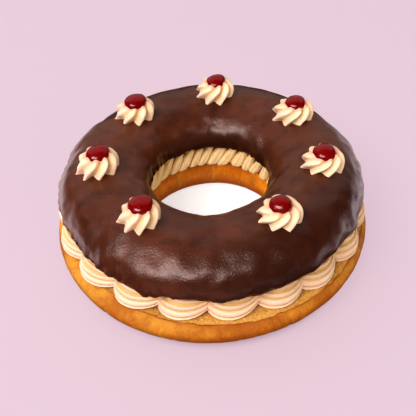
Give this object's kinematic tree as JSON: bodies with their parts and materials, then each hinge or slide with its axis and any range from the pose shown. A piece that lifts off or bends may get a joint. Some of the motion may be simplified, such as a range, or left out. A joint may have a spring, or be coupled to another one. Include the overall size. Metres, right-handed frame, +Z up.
{
  "type": "filled ring doughnut",
  "caption": "Large ring doughnut split level and filled with piped cream swirls, its top half covered in chocolate icing and set with cream rosettes, each with a cherry.",
  "frame": {"origin": "centre of the hole, on the surface that the doughnut stands on", "axes": "+Z up along the hole's axis, -Y towards the widest space between the rosettes, +X to the right"},
  "size_m": [0.241, 0.24, 0.0947],
  "materials": {
    "dough": "baked, golden brown, satin",
    "cream": "soft piped cream",
    "chocolate": "set icing, soft gloss",
    "cherry": "wet, glossy"
  },
  "bodies": {
    "root": {"dough_base": "dough", "cream_filling": "cream", "dough_top": "dough", "chocolate_icing": "chocolate", "rosette_1": "cream", "rosette_2": "cream", "rosette_3": "cream", "rosette_4": "cream", "rosette_5": "cream", "rosette_6": "cream", "rosette_7": "cream", "cherry_1": "cherry", "cherry_2": "cherry", "cherry_3": "cherry", "cherry_4": "cherry", "cherry_5": "cherry", "cherry_6": "cherry", "cherry_7": "cherry"}
  },
  "joints": []
}
